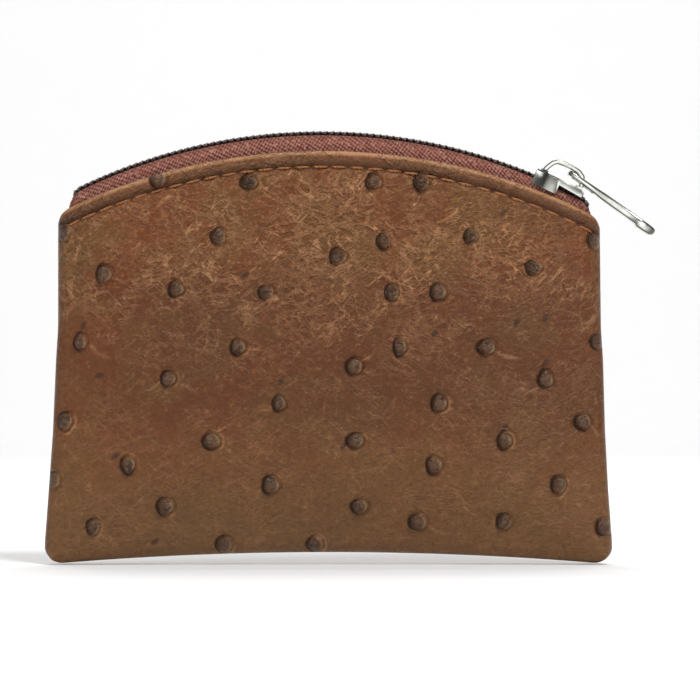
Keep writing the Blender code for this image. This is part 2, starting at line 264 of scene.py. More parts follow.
def quillMaps(x, z, side):
    # How far the nearest bump is, which side of it a point lies, the height, and the creases from bumps.
    q = quill
    far = np.full(x.shape, 9.0)
    across, raised, tails = [np.zeros(x.shape) for _ in range(3)]
    chance = random.Random(q["seed"] + side)
    for qx, qz in quillPlaces(side):
        size = chance.uniform(*q["size"])
        squeeze = chance.uniform(*q["squeeze"])
        lean = math.radians(chance.uniform(*q["lean"]))
        dx, dz = (x - qx) * squeeze, (z - qz) / squeeze
        around = np.arctan2(dz, dx)
        coarse, small = q["ragged"]
        ragged = 1 + coarse * np.sin(3 * around + qx) + small * np.sin(5 * around + qz)
        r = np.hypot(dx, dz) / (q["radius"] * size * ragged)
        near = r < far
        far = np.where(near, r, far)
        toward = turnedBy(dx, dz, lean)[0] / (q["radius"] * size)
        across = np.where(near, np.clip(toward, -1.4, 1.4), across)
        toward = np.clip(toward, -1, 1)
        cap = np.sqrt(unit(1 - (r / 1.04) ** 2))
        nub = bell(np.hypot(dx + 0.25, dz + 0.2), 0.5)
        dome = q["shelf"] * (1 - smooth((r - 0.62) / 0.42)) + q["crown"] * cap + q["nub"] * nub
        pitted = 1 + q["pits"] * np.sin(4 * dx + qz) * np.sin(5 * dz + qx)
        raised += q["height"] * size * dome * (1 + q["slope"] * toward) * pitted
        ridge, groove = q["fold"]
        upper = unit(0.3 + (dz + 0.5 * dx) / q["radius"])
        raised += (ridge * bell(r - 0.82, 0.13) - groove * bell(r - 0.54, 0.12)) * upper
        raised -= q["dent"] * bell(r - 1.18, 0.16) * (1 + 0.6 * toward)
        for _ in range(chance.choice((1, 1, 2, 2)) if qz > q["denseAbove"] else chance.choice((0, 0, 1))):
            way = chance.choice(q["tailWays"]) + chance.uniform(-q["tailStray"], q["tailStray"])
            long = q["tailLong"] * chance.uniform(0.5, 1.2)
            along, off = turnedBy(dx, dz, math.radians(way))
            off = off + 0.35 * np.sin(along * 0.9 + qx)
            stroke = bell(off, q["tailWide"]) * smooth((along - 1.5) / 0.5)
            tails = np.maximum(tails, stroke * smooth((1.5 + long - along) / 3.0))
    return far, across, raised, tails


def markMap(x, z, side):
    marked = np.zeros(x.shape)
    chance = random.Random(darkMarks["seed"])
    for qx, qz in darkMarks["places"]:
        along, off = turnedBy(x - qx * -side, z - qz, chance.uniform(*darkMarks["turn"]))
        marked = np.maximum(marked, bell(along, darkMarks["long"]) * bell(off, darkMarks["wide"]))
    return marked


def waves(x, z, seed, low, high, count):
    # A sum of slow waves of random heading, between about -1 and 1.
    chance = random.Random(seed)
    total = np.zeros(x.shape)
    for _ in range(count):
        turn = chance.uniform(0, math.pi)
        long = chance.uniform(low, high)
        phase = chance.uniform(0, 2 * math.pi)
        total += np.sin(2 * math.pi * turnedBy(x, z, turn)[0] / long + phase)
    return total / math.sqrt(2.0 * count)


stitch = {
    "drop": 3.0,
    "pitch": 3.47,
    "thread": 0.21,
    "gap": 0.3,
    "reach": 50.2,
    "sink": 0.4,
    "arch": 0.42,
    "tilt": 0.06,
    "taper": (0.55, 0.92, 1.05, 1.08, 1.05, 0.92, 0.55),
    "sides": 7,
    "seed": 3,
}


def stitchHoles():
    # Needle holes along the hem, as x places, evenly spaced along the arc.
    cx, _, r = outline["hemArc"]
    radius = r - stitch["drop"]
    start = math.asin((-stitch["reach"] - cx) / radius)
    end = math.asin((stitch["reach"] - cx) / radius)
    count = round((end - start) * radius / stitch["pitch"])
    turns = [start + (end - start) * k / count for k in range(count + 1)]
    return [cx + radius * math.sin(turn) for turn in turns]


surface = {
    "quillFade": 3.8,
    "quillLeast": 0.12,
    "hemFade": 0.8,
    "sag": (0.2, 21, 14, 34, 9),  # height, seed, shortest, longest, how many
    "ripple": (0.075, 4, 4, 10, 12),
    "tail": 0.07,
    "hemSwell": 0.36,
    "groove": (0.26, 0.5),  # depth and width
    "hole": (0.3, 0.42),
    "pucker": 0.1,
    "puckerWide": 3.2,
}


def panelRelief(s, t, x, z, below, side):
    # Height of the leather's surface over its plain shape.
    c = surface
    far, across, raised, tails = quillMaps(x, z, side)
    inward = smooth(edgeRange(s, t) / c["quillFade"])
    relief = raised * smooth(below / c["hemFade"]) * (c["quillLeast"] + (1 - c["quillLeast"]) * inward)
    for height, seed, low, high, count in (c["sag"], c["ripple"]):
        relief += height * waves(x, z, seed + side, low, high, count)
    relief += c["tail"] * tails
    band = unit(below / stitch["drop"])
    relief += c["hemSwell"] * np.sin(math.pi * band) * (below < stitch["drop"])
    deep, wide = c["groove"]
    relief -= deep * bell(below - stitch["drop"], wide)
    deep, wide = c["hole"]
    for hole in stitchHoles():
        relief -= deep * bell(np.hypot(x - hole, z - hemZ(hole, stitch["drop"])), wide)
    nearSide = smooth((c["puckerWide"] - (outline["halfGrid"] - np.abs(s))) / 3.0)
    nearSide *= smooth((outline["foldHeight"] - t) / 8)
    relief += c["pucker"] * nearSide * np.sin(z * 1.9 + 3 * np.sin(z * 0.37 + side))
    return relief, far, across, tails


def spaced(half, count, press):
    # Places from -half to half, pressed closer together towards both ends.
    u = np.linspace(-1, 1, count)
    return half * ((1 - press) * u + press * np.sin(u * math.pi / 2))


def only(piece):
    bpy.ops.object.select_all(action="DESELECT")
    piece.select_set(True)
    bpy.context.view_layer.objects.active = piece


def mode(kind):
    bpy.ops.object.mode_set(mode=kind)


def faceOut(piece):
    only(piece)
    mode("EDIT")
    bpy.ops.mesh.select_all(action="SELECT")
    bpy.ops.mesh.normals_make_consistent(inside=False)
    mode("OBJECT")


def addObject(name, data):
    made = bpy.data.objects.new(name, data)
    scene.collection.objects.link(made)
    return made


def newMesh(name, points, faces, mat):
    # A closed piece from points in millimetres.
    mesh = bpy.data.meshes.new(name)
    places = (np.asarray(points) + (middleX, 0.0, 0.0)) * mm
    mesh.from_pydata(places.tolist(), [], faces)
    mesh.update()
    piece = addObject(name, mesh)
    mesh.materials.append(mat)
    mesh.polygons.foreach_set("use_smooth", [True] * len(mesh.polygons))
    faceOut(piece)
    print(name, len(faces), "faces")
    return piece


def pointMap(piece, name, values):
    layer = piece.data.attributes.new(name, "FLOAT", "POINT")
    layer.data.foreach_set("value", np.asarray(values, np.float32).ravel())


def gridFaces(wide, tall, start=0):
    j, i = np.meshgrid(np.arange(tall - 1), np.arange(wide - 1), indexing="ij")
    a = (start + j * wide + i).ravel()
    return np.stack([a, a + 1, a + 1 + wide, a + wide], axis=1).tolist()


def rimLoop(wide, tall):
    # The grid's border, walked once round.
    loop = [(i, 0) for i in range(wide - 1)]
    loop += [(wide - 1, j) for j in range(tall - 1)]
    loop += [(i, tall - 1) for i in range(wide - 1, 0, -1)]
    loop += [(0, j) for j in range(tall - 1, 0, -1)]
    return loop


def twoSkins(name, outerPoints, innerPoints, step, mat):
    # A fine outer skin and a coarser inner one, sewn together round the rim.
    tall, wide = outerPoints.shape[:2]
    innerTall, innerWide = innerPoints.shape[:2]
    start = wide * tall
    points = np.concatenate([outerPoints.reshape(-1, 3), innerPoints.reshape(-1, 3)])
    faces = gridFaces(wide, tall)
    faces += [list(reversed(face)) for face in gridFaces(innerWide, innerTall, start)]
    loop = rimLoop(wide, tall)
    for k in range(0, len(loop), step):
        run = [loop[(k + n) % len(loop)] for n in range(step + 1)]
        fine = [j * wide + i for i, j in run]
        first, last = [start + (j // step) * innerWide + i // step for i, j in (run[0], run[-1])]
        faces.append(list(reversed(fine)) + [first, last])
    return newMesh(name, points, faces, mat)


def makePanel(name, side, mat):
    half, tall, step = outline["halfGrid"], outline["tallGrid"], leather["innerStep"]
    s = spaced(half, leather["columns"], leather["press"])
    body = tall * (1 - (1 - np.linspace(0, 1, leather["rows"])) ** 1.06)
    low = np.array([0.0, 0.12, 0.4, 0.8])
    high = tall - np.array([1.1, 0.75, 0.45, 0.22, 0.06, 0.0])
    t = np.concatenate([low, body[(body > 1.1) & (body < tall - 1.4)], high])
    while (len(t) - 1) % step:  # the inner skin takes every fourth row
        middle = len(t) // 2
        t = np.insert(t, middle, 0.5 * (t[middle - 1] + t[middle]))
    gridS, gridT = np.meshgrid(s, t)
    x, z = frontPlace(gridS, gridT)
    depthT = cadHeight(x, z)
    below = hemZ(x) - z
    depth = outerDepth(gridS, depthT)
    roll = unit(below / leather["hemRoll"])
    depth -= leather["hemRoll"] * (1 - quarter(roll))
    relief, far, across, tails = panelRelief(gridS, depthT, x, z, below, side)
    flat = np.stack([x, side * depth, z], axis=-1)
    alongS, alongT = np.gradient(flat, axis=1), np.gradient(flat, axis=0)
    normal = np.cross(alongS, alongT)
    normal /= np.maximum(np.linalg.norm(normal, axis=-1, keepdims=True), 1e-9)
    normal *= np.sign(normal[..., 1:2] * side + 1e-9)
    keep = smooth(edgeRange(gridS, depthT) / 0.8)
    keep = np.minimum(keep, smooth(below / 0.5))
    outer = flat + normal * (relief * keep)[..., None]
    outer[..., 1] = side * np.maximum(outer[..., 1] * side, leather["seam"])
    fine = (gridS, depthT, x, z, depth)
    innerS, innerT, innerX, innerZ, wall = [grid[::step, ::step] for grid in fine]
    inside = insideDepth(innerS, innerT, hemZ(innerX) - innerZ)
    inside = np.minimum(inside, wall - 0.05)
    seam = (np.abs(innerS) > half - 0.01) | (innerT < 0.01)
    inside = np.where(seam, leather["seam"] * 0.4, inside)
    inner = np.stack([innerX, side * inside, innerZ], axis=-1)
    piece = twoSkins(name, outer, inner, step, mat)
    maps = {
        "quillRange": (far, 9.0),
        "quillSide": (across, 0.0),
        "creaseTail": (tails, 0.0),
        "darkMark": (markMap(x, z, side), 0.0),
        "hemDrop": (below, 20.0),
    }
    for key, (values, innerValue) in maps.items():
        pointMap(piece, key, np.concatenate([values.ravel(), np.full(inside.size, innerValue)]))
    return piece


lining = {
    "thick": 0.4,
    "gap": 0.25,
    "inset": 5.6,
    "slope": 1.1,
    "bellyDepth": 6.0,
    "topDepth": 2.72,
    "drop": 1.5,
    "columns": 121,
    "rows": 97,
    "press": 0.15,
    "crease": 0.12,
    "creaseWaves": (31, 6, 20, 10),
}


def liningDepth(s, t):
    rise = 0.15 + lining["thick"] + lining["slope"] * (edgeRange(s, t) - lining["inset"])
    limit = lining["bellyDepth"] + neckShare(t) * (lining["topDepth"] - lining["bellyDepth"])
    wall = insideDepth(s, t, np.full(s.shape, 9.0)) - lining["gap"]
    return np.minimum(np.minimum(rise, wall), limit)


def makeLining(name, side, mat):
    half = outline["halfGrid"] - lining["inset"]
    s = spaced(half, lining["columns"], lining["press"])
    t = np.linspace(lining["inset"], outline["tallGrid"], lining["rows"])
    gridS, gridT = np.meshgrid(s, t)
    x, z = frontPlace(gridS, gridT, lambda v: hemZ(v) - lining["drop"])
    depthT = cadHeight(x, z)
    seed, low, high, count = lining["creaseWaves"]
    crease = lining["crease"] * (waves(x, z, seed + side, low, high, count) - 1.0)
    crease *= smooth((half - np.abs(gridS)) / 4) * smooth((66 - depthT) / 10) * smooth((depthT - 8) / 5)
    depth = liningDepth(gridS, depthT) + np.minimum(crease, 0)
    outer = np.stack([x, side * depth, z], axis=-1)
    inner = np.stack([x, side * (depth - lining["thick"]), z], axis=-1)
    return twoSkins(name, outer, inner, 1, mat)


zipper = {
    "pitch": 1.27,
    "wire": 0.25,
    "midRadius": 105.47,
    "arcSteps": 160,
    "bendSteps": 8,
    "outSteps": 4,
    "rise": 0.28,
    "midDepth": 0.8,
    "swing": 1.05,
    "wireSides": 6,
    "turnSteps": 12,
    "leftEnd": -47.4,
    "rightEnd": 48.2,
    "bendRadius": 1.7,
    "bendAngle": 62.0,
    "runOut": 2.6,
}
tape = {
    "thick": 0.34,
    "columns": 240,
    "press": 0.3,
    "left": -49.5,
    "right": 50.0,
    "topRadius": 105.08,
    "cornerRadius": 2.6,
    "endFrom": 45.4,
    "belowHem": 5.5,
    "wall": 2.12,
    "wallIn": 0.5,
    "hemOut": 2.8,
    "hemIn": 1.1,
}


def zipSpine():
    # Points and outward headings along the coil: down at the left, over the arc, down at the right.
    cx, cz, _ = outline["zipArc"]
    r = zipper["midRadius"]
    start = math.asin((zipper["leftEnd"] - cx) / r)
    end = math.asin((zipper["rightEnd"] - cx) / r)

    def onArc(x, z, reach, turn):
        return x + reach * math.sin(turn), z + reach * math.cos(turn), turn

    def bend(angle, sign):
        reach = zipper["bendRadius"]
        ox, oz, _ = onArc(cx, cz, r - reach, angle)
        out = []
        for k in range(1, zipper["bendSteps"] + 1):
            turn = angle + sign * math.radians(zipper["bendAngle"]) * k / zipper["bendSteps"]
            out.append(onArc(ox, oz, reach, turn))
        qx, qz, turn = out[-1]
        for k in range(1, zipper["outSteps"] + 1):
            go = sign * zipper["runOut"] * k / zipper["outSteps"]
            out.append((qx + go * math.cos(turn), qz - go * math.sin(turn), turn))
        return out

    steps = zipper["arcSteps"]
    arc = [onArc(cx, cz, r, start + (end - start) * k / steps) for k in range(steps + 1)]
    whole = np.array(bend(start, -1)[::-1] + arc + bend(end, 1))
    return whole[:, :2], np.stack([np.sin(whole[:, 2]), np.cos(whole[:, 2])], axis=1)


def alongSpine(spots, ups, distance):
    # The place and outward heading at a distance along the spine, and the spine's length.
    steps = np.linalg.norm(np.diff(spots, axis=0), axis=1)
    mark = np.concatenate([[0.0], np.cumsum(steps)])
    x, z, ux, uz = [np.interp(distance, mark, row) for row in (*spots.T, *ups.T)]
    size = np.hypot(ux, uz)
    return x, z, ux / size, uz / size, mark[-1]


def sweepFaces(rings, sides):
    # Walls between rings of points, with a closing face at each end.
    faces = []
    for j in range(rings - 1):
        for i in range(sides):
            n = (i + 1) % sides
            faces.append([j * sides + i, j * sides + n, (j + 1) * sides + n, (j + 1) * sides + i])
    last = (rings - 1) * sides
    faces.append(list(range(sides - 1, -1, -1)))
    faces.append([last + i for i in range(sides)])
    return faces


def tubeAlong(path, radius, sides):
    # Rings of points square to a path.
    path = np.asarray(path, float)
    run = np.gradient(path, axis=0)
    run /= np.linalg.norm(run, axis=1, keepdims=True)
    across = np.cross(run, [0.0, 1.0, 0.03])
    across /= np.linalg.norm(across, axis=1, keepdims=True)
    other = np.cross(run, across)
    turns = 2 * math.pi * np.arange(sides) / sides
    radius = np.broadcast_to(radius, (len(path),))
    ring = np.cos(turns)[:, None] * across[:, None, :] + np.sin(turns)[:, None] * other[:, None, :]
    points = (path[:, None, :] + ring * radius[:, None, None]).reshape(-1, 3)
    return points, sweepFaces(len(path), sides)


def makeCoil(name, side, mat):
    spots, ups = zipSpine()
    length = alongSpine(spots, ups, 0.0)[4]
    turns = int(length / zipper["pitch"]) - 1
    phase = 0.0 if side < 0 else 0.5  # the back coil's turns fall between the front coil's
    path = []
    for k in range(turns * zipper["turnSteps"] + 1):
        turn = k / zipper["turnSteps"]
        x, z, ux, uz, _ = alongSpine(spots, ups, (turn + 0.5 + phase) * zipper["pitch"])
        swing = 2 * math.pi * turn
        lift = zipper["rise"] * math.sin(swing)
        y = side * (zipper["midDepth"] + zipper["swing"] * math.cos(swing))
        path.append((x + ux * lift, y, z + uz * lift))
    return newMesh(name, *tubeAlong(path, zipper["wire"], zipper["wireSides"]), mat)


def tapeTopZ(x):
    # Top of the tape, rounded down at both ends where the zip turns into the side seams.
    z = arcZ(x, "zipArc", tape["topRadius"])
    reach = tape["cornerRadius"]
    for edge, sign in ((tape["left"], -1), (tape["right"], 1)):
        over = unit((sign * (x - edge) + reach) / reach)
        z = z - reach * (1 - np.sqrt(unit(1 - over * over)))
    return z


def makeTape(name, side, mat):
    # The tape's cut is swept along x: a flat strip under the coil, then a wall down inside the hem.
    x = spaced(0.5 * (tape["right"] - tape["left"]), tape["columns"], tape["press"])
    x = x + 0.5 * (tape["right"] + tape["left"])
    hem, top, thick = hemZ(x), tapeTopZ(x), tape["thick"]
    endShare = smooth((np.abs(x) - tape["endFrom"]) / 1.2)
    low = (hem - tape["belowHem"]) * (1 - endShare) + (hem - 1.0) * endShare
    low = np.minimum(low, top - 1.2)
    wall = tape["wall"] - tape["wallIn"] * smooth((np.abs(x) - 47.2) / 2.3)
    hemOut = tape["hemOut"] - tape["hemIn"] * endShare
    strip = [0.35 + share * (wall - 0.35 - 0.15) for share in np.linspace(0, 1, 4)]
    outside = []
    for share in np.linspace(0.06, 1, 12):
        z = top + share * (np.minimum(hem + 0.35, top - 0.3) - top)
        bulge = 0.22 * np.sin(math.pi * share) + share * 0.35
        outside.append((wall + thick + bulge * (1 - endShare * 0.6), z))
    outside.append((hemOut + thick, np.minimum(hem - 0.7, top - 0.6)))
    outside.append((hemOut + thick, low))
    inside = [(y - thick, z) for y, z in reversed(outside)]
    upper = [(y, top) for y in strip] + [(wall + thick - 0.1, top - 0.02)]
    under = [(wall - 0.12, top - thick - 0.02)] + [(y, top - thick) for y in reversed(strip)]
    ring = upper + outside + inside + under
    grid = np.stack([np.stack([x, side * (y + 0 * x), z], axis=-1) for y, z in ring], axis=1)
    steps = np.linalg.norm(np.diff(grid, axis=1), axis=-1)
    down = np.concatenate([np.zeros((len(x), 1)), np.cumsum(steps, axis=1)], axis=1)
    piece = newMesh(name, grid.reshape(-1, 3), sweepFaces(len(x), len(ring)), mat)
    cx, _, radius = outline["zipArc"]
    along = np.arcsin((x - cx) / radius) * 105.0
    pointMap(piece, "tapeAlong", np.repeat(along, len(ring)))
    pointMap(piece, "tapeDown", down)
    return piece


def surfaceDepth(x, z):
    # Outer depth of the plain panel at a place in the front view.
    x, z = np.asarray(x, float), np.asarray(z, float)
    s = outline["halfGrid"] * x / np.abs(sideX(x, z))
    return float(outerDepth(s, cadHeight(x, z)))


def makeStitches(name, side, mat):
    holes = stitchHoles()
    points, faces = [], []
    chance = random.Random(stitch["seed"] + side)
    last = len(stitch["taper"]) - 1
    for first, second in zip(holes[:-1], holes[1:]):
        path = []
        tilt = chance.uniform(-stitch["tilt"], stitch["tilt"])
        share = stitch["gap"] * chance.uniform(0.85, 1.15) / stitch["pitch"]
        for k in range(last + 1):
            u = share + (1 - 2 * share) * k / last
            x = first + (second - first) * u
            z = hemZ(x, stitch["drop"]) + tilt * (2 * u - 1)
            arch = stitch["arch"] * math.sin(math.pi * k / last) ** 0.6
            path.append((x, side * (surfaceDepth(x, z) - stitch["sink"] + arch), z))
        made, own = tubeAlong(path, stitch["thread"] * np.array(stitch["taper"]), stitch["sides"])
        start = len(points)
        points.extend(made.tolist())
        faces.extend([[start + i for i in face] for face in own])
    return newMesh(name, points, faces, mat)


class Wire:
    # A socket that takes part in sums as a number does.
    def __init__(self, bench, socket):
        self.bench, self.socket = bench, socket

    def __add__(self, other):
        return self.bench.reckon("ADD", self, other)

    def __sub__(self, other):
        return self.bench.reckon("SUBTRACT", self, other)

    def __rsub__(self, other):
        return self.bench.reckon("SUBTRACT", other, self)

    def __mul__(self, other):
        return self.bench.reckon("MULTIPLY", self, other)

    __radd__, __rmul__ = __add__, __mul__


class Bench:
    # A material being built: its shader, and the calls that add nodes to it.
    def __init__(self, name, **fixed):
        self.material = bpy.data.materials.new(name)
        self.material.use_nodes = True
        self.tree = self.material.node_tree
        self.shader = self.tree.nodes["Principled BSDF"]
        for key, value in fixed.items():
            self.shader.inputs[key.replace("_", " ")].default_value = value

    def add(self, kind, settings, inputs, out=0):
        node = self.tree.nodes.new(kind)
        for key, value in settings.items():
            setattr(node, key, value)
        for key, value in inputs.items():
            if isinstance(value, Wire):
                self.tree.links.new(value.socket, node.inputs[key])
            else:
                node.inputs[key].default_value = value
        return Wire(self, node.outputs[out])

    def reckon(self, operation, *values, kind="ShaderNodeMath"):
        return self.add(kind, {"operation": operation}, dict(enumerate(values)))

    def place(self):
        return self.add("ShaderNodeTexCoord", {}, {}, "Object")

    def read(self, name):
        return self.add("ShaderNodeAttribute", {"attribute_name": name}, {}, "Fac")

    def turned(self, vector, turn, size=(1.0, 1.0, 1.0)):
        # Turns first, then divides by size: features run along the turned x.
        fields = {"Vector": vector, "Rotation": turn, "Scale": size}
        return self.add("ShaderNodeMapping", {"vector_type": "TEXTURE"}, fields)

    def noise(self, vector, scale, detail=2.0, rough=0.5, out=0):
        fields = {"Vector": vector, "Scale": scale, "Detail": detail, "Roughness": rough}
        return self.add("ShaderNodeTexNoise", {}, fields, out)

    def span(self, value, low, high, toLow=0.0, toHigh=1.0):
        fields = {0: value, 1: low, 2: high, 3: toLow, 4: toHigh}
        return self.add("ShaderNodeMapRange", {"interpolation_type": "SMOOTHSTEP"}, fields)

    def mix(self, share, first, second):
        return self.add("ShaderNodeMix", {"data_type": "RGBA"}, {0: share, 6: first, 7: second}, 2)

    def coats(self, color, *layers):
        # Lays tones over a colour one after another, each through its mask.
        for mask, shade in layers:
            color = self.mix(mask, color, shade)
        return color

    def warp(self, vector, amount, scale):
        kind = "ShaderNodeVectorMath"
        shift = self.reckon("SUBTRACT", self.noise(vector, scale, out=1), (0.5, 0.5, 0.5), kind=kind)
        small = self.add(kind, {"operation": "SCALE"}, {0: shift, 3: amount})
        return self.reckon("ADD", vector, small, kind=kind)

    def bump(self, height, distance):
        return self.add("ShaderNodeBump", {}, {"Height": height, "Distance": distance, "Strength": 1.0})

    def feed(self, **links):
        for key, value in links.items():
            self.tree.links.new(value.socket, self.shader.inputs[key.replace("_", " ")])


def tone(r, g, b):
    # Everyday 0 to 255 colour to the shader's linear one.
    shares = (r / 255, g / 255, b / 255)
    return (*[v / 12.92 if v <= 0.04045 else ((v + 0.055) / 1.055) ** 2.4 for v in shares], 1.0)


leatherFinish = {
    "brown": tone(98, 55, 17),
    "red": tone(106, 53, 13),
    "olive": tone(101, 67, 25),
    "lowSheenGray": tone(108, 77, 44),
    "tan": tone(184, 133, 92),
    "dark": tone(74, 43, 20),
    "deep": tone(68, 32, 6),
    "quill": tone(88, 58, 37),
    "quillDark": tone(39, 20, 10),
    "quillGreen": tone(104, 96, 76),
    "quillHighlight": tone(150, 122, 94),
    "hem": tone(104, 66, 40),
    "hemEdgeHighlight": tone(176, 126, 82),
}


def drawnOut(b, where, rise, size, stretch):
    # Space in which a pattern of that size, in millimetres, is drawn out along a rising angle.
    size = size * mm
    return b.turned(where, (0.0, -math.radians(rise), 0.0), (size * stretch, size, size))


def strokes(b, where, rise, size, stretch, width, detail=1.0):
    # Fine lines: the thin ridges of a drawn out noise.
    field = b.noise(drawnOut(b, where, rise, size, stretch), 1.0, detail)
    return b.span(b.reckon("ABSOLUTE", field - 0.5), 0.0, width, 1.0, 0.0)


def crackle(b, where, rise, size, stretch, width):
    # A net of fine creases.
    fields = {"Vector": drawnOut(b, where, rise, size, stretch), "Scale": 1.0}
    edge = b.add("ShaderNodeTexVoronoi", {"feature": "DISTANCE_TO_EDGE"}, fields)
    return b.span(edge, 0.0, width, 1.0, 0.0)


def patches(b, at, turn, scale, low):
    # Soft islands that keep a pattern to parts of the surface.
    field = b.noise(b.turned(at, turn), scale)
    return b.span(field, low, 0.6)


def leatherMaterial():
    f = leatherFinish
    b = Bench("leatherQuill", Specular_IOR_Level=0.3)
    at = b.place()
    along, up = [b.add("ShaderNodeSeparateXYZ", {}, {0: at}, axis) for axis in "XZ"]
    bent = b.warp(at, 0.0011, 300.0)
    folded = b.warp(at, 0.0022, 240.0)
    broad = b.noise(at, 46.0, 3.0, 0.55)
    broadTurned = b.noise(b.turned(at, (0.3, 0.9, 0.2)), 80.0, 3.0, 0.6)
    fine = b.noise(at, 900.0, 3.0, 0.65)  # the finest mottle, about a millimetre across
    grain = b.noise(at, 2600.0, 2.0, 0.6)
    pebble = b.noise(b.turned(at, (0.0, -0.5, 0.0), (0.0009, 0.0006, 0.0006)), 1.2, 2.0, 0.6)
    level = patches(b, at, (0.0, 0.0, 0.0), 110.0, 0.46)
    cross = patches(b, at, (0.0, 1.3, 0.0), 90.0, 0.47)
    steep = patches(b, at, (0.9, 0.3, 0.0), 140.0, 0.47)
    high = b.span(up, 0.034, 0.06, 0.2, 1.0)

    # Short crease strokes at four angles, each kept to its own patches.
    lines = strokes(b, bent, 40.0, 1.8, 5.0, 0.028) * level
    for rise, size, width, patch in ((52.0, 1.3, 0.032, steep), (-42.0, 1.9, 0.026, cross),
                                     (24.0, 1.8, 0.022, cross * 0.8)):
        lines = b.reckon("MAXIMUM", lines, strokes(b, bent, rise, size, 5.0, width) * patch)
    tail = b.read("creaseTail")
    lines = b.reckon("MAXIMUM", lines * (0.4 + fine * 0.9) * high, tail * (fine * 1.5 - 0.2))
    wrinkle = strokes(b, folded, 14.0, 1.5, 2.6, 0.11, 2.0) * (0.3 + 0.7 * cross)
    wrinkle = b.reckon("MAXIMUM", wrinkle, strokes(b, folded, -24.0, 1.7, 2.4, 0.1, 2.0) * steep) * high
    mesh = crackle(b, bent, 42.0, 1.9, 2.6, 0.04) * steep
    mesh = b.reckon("MAXIMUM", mesh, crackle(b, bent, -38.0, 2.3, 2.4, 0.04) * level) * high

    below = b.read("hemDrop")
    band = b.span(below, 3.1, 2.7)
    # Painted highlight along the hem's rolled edge, where the fold catches the light.
    roll = b.span(below + (broadTurned - 0.5) * 0.6, 1.05, 0.5)
    # Painted shade in the groove along the stitch line.
    groove = b.span(below, 2.45, 2.85) * b.span(below, 3.6, 3.1)
    middle = b.span(up, 0.062, 0.05) * b.span(up, 0.014, 0.034) * b.span(along, -0.058, -0.034, 0.1, 1.0)
    color = b.coats(
        f["brown"],
        (b.span(broad, 0.38, 0.62), f["red"]),
        (b.span(broadTurned, 0.46, 0.66) * 0.7, f["olive"]),
        # Painted sheen: the lower part of the panel is made greyer, standing in for grazing light on the
        # curve.
        (b.span(up, 0.036, 0.004, 0.0, 0.7), f["lowSheenGray"]),
        (middle * 0.42, f["deep"]),
        (b.span(fine, 0.5, 0.32, 0.0, 0.35), f["dark"]),
        (b.span(fine, 0.55, 0.74, 0.0, 0.2), f["tan"]),
        (b.span(pebble, 0.5, 0.34, 0.0, 0.28), f["dark"]),
        (b.span(pebble, 0.54, 0.7, 0.0, 0.2) * high, f["tan"]),
        (wrinkle * 0.26, f["tan"]),
        (mesh * (0.08 + fine * 0.5), f["tan"]),
        (lines * 0.72, f["tan"]),
        (band * 0.5, f["hem"]),
        # Painted shade: the hem band is darker in its lower half, just above the stitches.
        (b.span(below, 1.2, 2.5) * band * 0.6, f["dark"]),
        # painted highlight on the hem's rolled edge
        (roll * (0.4 + fine * 0.7), f["hemEdgeHighlight"]),
        # painted shade in the stitch groove
        (groove * 0.6, f["dark"]),
        (b.span(b.read("darkMark") * (0.6 + fine), 0.35, 0.75, 0.0, 0.65), f["quillDark"]),
    )

    # The bumps: a painted highlight on one side and painted shade on the other, with a dark ring made
    # darker on the shaded side as painted shade, and a painted highlight along the rim on the lit side.
    far, side = b.read("quillRange"), b.read("quillSide")
    edge = far + (fine - 0.5) * 0.3 + b.span(side, 0.2, -0.6, 0.0, 0.12)
    dome = b.span(edge, 1.08, 0.78)
    ring = b.span(far, 0.86, 0.99) * b.span(far, 1.24, 1.07)
    rimHighlight = b.span(far, 1.02, 1.14) * b.span(far, 1.45, 1.2) * b.span(side, -0.1, -0.9)
    quillColor = b.coats(
        f["quillDark"],
        (b.span(fine, 0.3, 0.56), f["quill"]),
        (b.span(pebble, 0.5, 0.68, 0.0, 0.5), f["quillGreen"]),
        # painted highlight on the bump's lit side
        (b.span(side, -0.15, -0.75, 0.0, 0.7) * b.span(far, 0.35, 0.8), f["quillHighlight"]),
        # painted shade on the bump's far side
        (b.span(side, 0.2, 0.8, 0.0, 0.75), f["quillDark"]),
    )
    color = b.coats(
        color,
        (dome * 0.9, quillColor),
        # A dark ring round each bump, with painted shade making it darker on the shaded side.
        (ring * b.span(side, -0.4, 0.7, 0.08, 0.95), f["quillDark"]),
        # painted highlight along the bump's rim on the lit side
        (rimHighlight * cross * (fine * 1.1 - 0.1), f["tan"]),
    )
    relief = fine * 0.5 + grain * 0.14 + lines * 0.9 + mesh * 0.4 + pebble * 0.8 + wrinkle
    relief = relief + (1 - ring) * 0.6 + dome * fine * 0.8
    sheen = 0.43 + (fine - 0.5) * 0.3 - lines * 0.06 - dome * 0.08 + (broad - 0.5) * 0.25
    b.feed(Base_Color=color, Roughness=sheen, Normal=b.bump(relief, 0.00034))
    return b.material


tapeFinish = {
    "dark": tone(98, 54, 46),
    "light": tone(174, 118, 104),
    "dirt": tone(146, 88, 70),
    "speck": tone(212, 164, 146),
    "gap": tone(80, 42, 35),
    "shade": tone(80, 44, 38),
    "ribs": 9.6,
    "wefts": 7.6,
}


